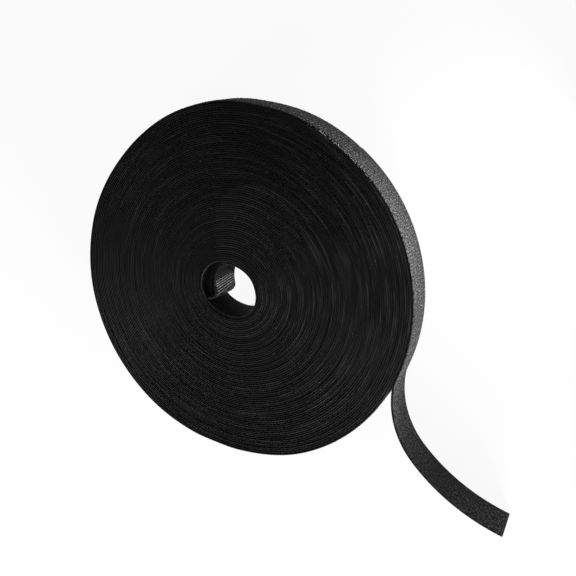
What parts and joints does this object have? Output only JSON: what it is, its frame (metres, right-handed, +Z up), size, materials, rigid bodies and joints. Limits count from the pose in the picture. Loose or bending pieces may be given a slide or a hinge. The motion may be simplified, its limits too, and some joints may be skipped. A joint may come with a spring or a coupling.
{
  "type": "hook and loop tape roll",
  "caption": "Coreless roll of black hook and loop tape lying flat, loop pile outside and hooks inside, with an open bore, a loose inner flap and a free tail that peels off.",
  "frame": {"origin": "on the surface that the roll lies on, under the middle of the whole part with its tail", "axes": "+Z up along the roll's axis, +X from the roll to the tip of the free tail"},
  "size_m": [0.2746, 0.1884, 0.02],
  "materials": {
    "wound_edges": "matt black selvedge edges of many turns",
    "loop_pile": "fuzzy matt loop pile",
    "hook_face": "rows of small nylon hooks"
  },
  "bodies": {
    "roll": {"inner_winding": "wound_edges", "outer_winding": "wound_edges", "first_turn_loop": "loop_pile", "first_turn_hook": "hook_face"},
    "inner_end": {"inner_end_loop": "loop_pile", "inner_end_hook": "hook_face"},
    "outer_lap": {"outer_lap_loop": "loop_pile", "outer_lap_hook": "hook_face"},
    "tail_1": {"tail_1_loop": "loop_pile", "tail_1_hook": "hook_face"},
    "tail_2": {"tail_2_loop": "loop_pile", "tail_2_hook": "hook_face"},
    "tail_3": {"tail_3_loop": "loop_pile", "tail_3_hook": "hook_face"}
  },
  "joints": [
    {"name": "inner_end_flex", "type": "hinge", "parent": "roll", "child": "inner_end", "pos_m": [-0.05685, 0.00206, 0.01], "axis": [0, 0, 1], "range_deg": [0, 45], "stiffness_Nm_per_rad": 0.007},
    {"name": "outer_lap_peel", "type": "hinge", "parent": "roll", "child": "outer_lap", "pos_m": [-0.00326, 0.08536, 0.01], "axis": [0, 0, 1], "range_deg": [0, 40]},
    {"name": "tail_flex_1", "type": "hinge", "parent": "outer_lap", "child": "tail_1", "pos_m": [0.05932, 0.00786, 0.01], "axis": [0, 0, 1], "range_deg": [-30, 30], "stiffness_Nm_per_rad": 0.007},
    {"name": "tail_flex_2", "type": "hinge", "parent": "tail_1", "child": "tail_2", "pos_m": [0.08339, -0.00432, 0.01], "axis": [0, 0, 1], "range_deg": [-30, 30], "stiffness_Nm_per_rad": 0.007},
    {"name": "tail_flex_3", "type": "hinge", "parent": "tail_2", "child": "tail_3", "pos_m": [0.11059, -0.00592, 0.01], "axis": [0, 0, 1], "range_deg": [-30, 30], "stiffness_Nm_per_rad": 0.007}
  ]
}
